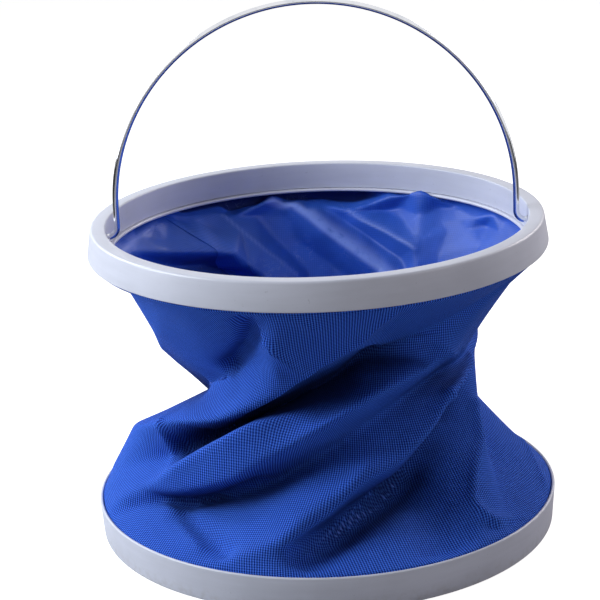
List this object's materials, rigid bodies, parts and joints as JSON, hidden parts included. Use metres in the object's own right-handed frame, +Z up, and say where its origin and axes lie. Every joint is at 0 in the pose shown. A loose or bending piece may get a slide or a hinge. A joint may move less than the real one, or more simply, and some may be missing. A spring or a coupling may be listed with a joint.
{
  "type": "collapsible camp bucket",
  "caption": "Collapsible camp bucket: a twisted coated-cloth wall between moulded rim and base hoops, with a swinging wire bail; it folds flat by turning and lowering the rim.",
  "frame": {"origin": "on the ground, under the middle of the base hoop", "axes": "+Z up through the rim; X along the bail's two pivots; -Y is the side seen in the picture"},
  "size_m": [0.3068, 0.3068, 0.3509],
  "materials": {
    "rim_plastic": "satin moulded polypropylene, pale lavender grey",
    "clamp_plastic": "satin moulded polypropylene",
    "base_plastic": "satin moulded polypropylene, pale lavender grey",
    "chromed_wire": "bright chromed steel wire",
    "wall_cloth": "royal blue Oxford weave outside, glossier coating inside",
    "floor_cloth": "royal blue coated cloth",
    "seam_film": "smooth welded seam tape"
  },
  "bodies": {
    "base": {"base_outer_hoop": "base_plastic", "base_inner_hoop": "clamp_plastic", "fabric_floor": "floor_cloth", "floor_seam_tape": "seam_film"},
    "wall": {"fabric_wall": "wall_cloth", "side_seam_tape": "seam_film"},
    "rim": {"rim_outer_hoop": "rim_plastic", "rim_inner_hoop": "clamp_plastic"},
    "bail": {"bail_wire": "chromed_wire"}
  },
  "joints": [
    {"name": "rim_twist", "type": "hinge", "parent": "base", "child": "wall", "pos_m": [0, 0, 0.0234], "axis": [0, 0, 1], "range_deg": [-40, 78]},
    {"name": "rim_lift", "type": "slide", "parent": "wall", "child": "rim", "axis": [0, 0, 1], "range_m": [-0.163, 0.082], "deforming": ["fabric_wall", "side_seam_tape"]},
    {"name": "bail_swing", "type": "hinge", "parent": "rim", "child": "bail", "pos_m": [0, 0, 0.2008], "axis": [1, 0, 0], "range_deg": [-78, 78]}
  ],
  "couplings": [
    {"joint": "rim_twist", "follows": "rim_lift", "rad_per_m": -8.3}
  ]
}
